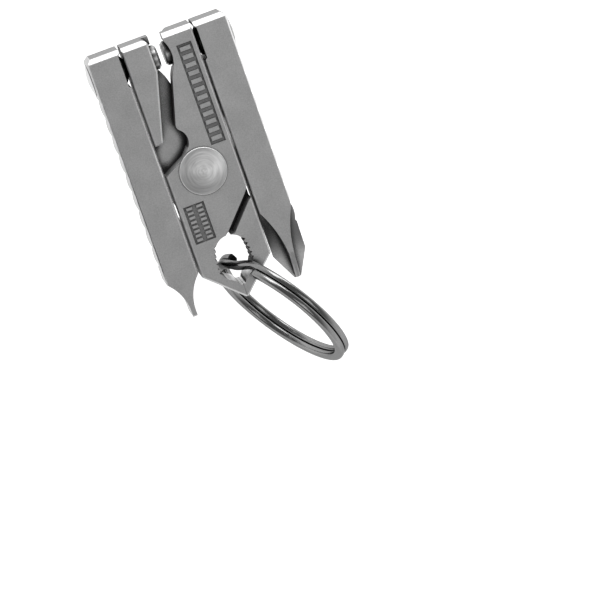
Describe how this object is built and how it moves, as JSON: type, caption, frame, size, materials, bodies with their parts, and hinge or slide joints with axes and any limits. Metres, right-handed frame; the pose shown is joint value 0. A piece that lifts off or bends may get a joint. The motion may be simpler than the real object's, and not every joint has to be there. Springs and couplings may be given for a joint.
{
  "type": "multi tool",
  "caption": "Pocket pliers with crossed jaws on a rivet, folding handles tipped with a flat and a cross-point driver, and a split key ring through the jaws' eye.",
  "frame": {"origin": "on the pivot rivet's axis, at the flat outer face of the rear rivet head, which is the lowest face of the folded tool apart from its ring", "axes": "+X across the tool towards the cross-point handle, +Y along it towards the handle hinges, +Z out of the front face"},
  "size_m": [0.0268, 0.0655, 0.0266],
  "materials": {
    "body_steel": "bead-blasted stainless steel, broken edges polished bright",
    "handle_steel": "bead-blasted stainless steel, driver ends ground",
    "rivet_steel": "spun steel, brushed in rings",
    "pin_steel": "turned steel",
    "spring_steel": "blued spring steel",
    "ring_steel": "polished nickel plate"
  },
  "bodies": {
    "front_half": {"front_plier_half": "body_steel", "pivot_rivet": "rivet_steel"},
    "rear_half": {"rear_plier_half": "body_steel"},
    "left_hinge": {"left_hinge_pin": "pin_steel", "left_spring_washer": "spring_steel"},
    "right_hinge": {"right_hinge_pin": "pin_steel", "right_spring_washer": "spring_steel"},
    "left_handle": {"left_handle": "handle_steel"},
    "right_handle": {"right_handle": "handle_steel"},
    "key_ring": {"split_ring": "ring_steel"}
  },
  "joints": [
    {"name": "plier_pivot", "type": "hinge", "parent": "front_half", "child": "rear_half", "pos_m": [0, 0, 0.0038], "axis": [0, 0, 1], "range_deg": [0, 20]},
    {"name": "left_handle_unfold", "type": "hinge", "parent": "rear_half", "child": "left_hinge", "pos_m": [0, 0.0206, 0.0038], "axis": [-1, 0, 0], "range_deg": [0, 150.1]},
    {"name": "right_handle_unfold", "type": "hinge", "parent": "front_half", "child": "right_hinge", "pos_m": [0, 0.0206, 0.0038], "axis": [1, 0, 0], "range_deg": [0, 150.1]},
    {"name": "left_handle_swing", "type": "hinge", "parent": "left_hinge", "child": "left_handle", "pos_m": [0, 0.0206, 0.0038], "axis": [-1, 0, 0], "range_deg": [0, 180]},
    {"name": "right_handle_swing", "type": "hinge", "parent": "right_hinge", "child": "right_handle", "pos_m": [0, 0.0206, 0.0038], "axis": [1, 0, 0], "range_deg": [0, 180]},
    {"name": "ring_swing", "type": "hinge", "parent": "front_half", "child": "key_ring", "pos_m": [-0.00007, -0.01743, 0.0038], "axis": [0.3607, -0.0597, 0.9307], "range_deg": [-40, 45]}
  ],
  "couplings": [
    {"joint": "left_handle_unfold", "follows": "plier_pivot", "ratio": 7.5},
    {"joint": "right_handle_unfold", "follows": "plier_pivot", "ratio": 7.5}
  ]
}
